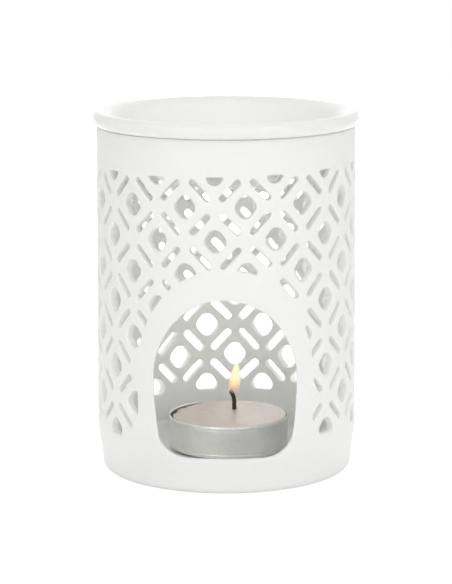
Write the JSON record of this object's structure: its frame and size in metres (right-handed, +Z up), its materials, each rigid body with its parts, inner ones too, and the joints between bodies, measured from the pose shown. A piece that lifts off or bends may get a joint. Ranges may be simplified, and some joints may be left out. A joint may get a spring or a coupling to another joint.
{
  "type": "essential oil burner",
  "caption": "Cylindrical white ceramic oil burner with diamond cut-work, an arched doorway for a tealight and a loose glazed dish on top.",
  "frame": {"origin": "centre of the foot, on the surface that the burner stands on", "axes": "+Z up; the doorway faces -Y, so +X is to the right as the doorway is looked at"},
  "size_m": [0.0826, 0.0826, 0.1124],
  "materials": {
    "matt_ceramic": "matt",
    "glazed_ceramic": "glossy",
    "cup_aluminium": "satin",
    "wax": "waxy satin",
    "wick_cotton": "burnt matt",
    "plate_steel": "satin"
  },
  "bodies": {
    "burner": {"burner_body": "matt_ceramic"},
    "dish": {"oil_dish": "glazed_ceramic"},
    "tealight": {"tealight_cup": "cup_aluminium", "tealight_wax": "wax", "wick": "wick_cotton", "wick_sustainer": "plate_steel"}
  },
  "joints": [
    {"name": "dish_lift", "type": "slide", "parent": "burner", "child": "dish", "axis": [0, 0, 1], "range_m": [0, 0.04]},
    {"name": "tealight_slide", "type": "slide", "parent": "burner", "child": "tealight", "axis": [0, -0.9336, 0.3584], "range_m": [0, 0.068]}
  ]
}
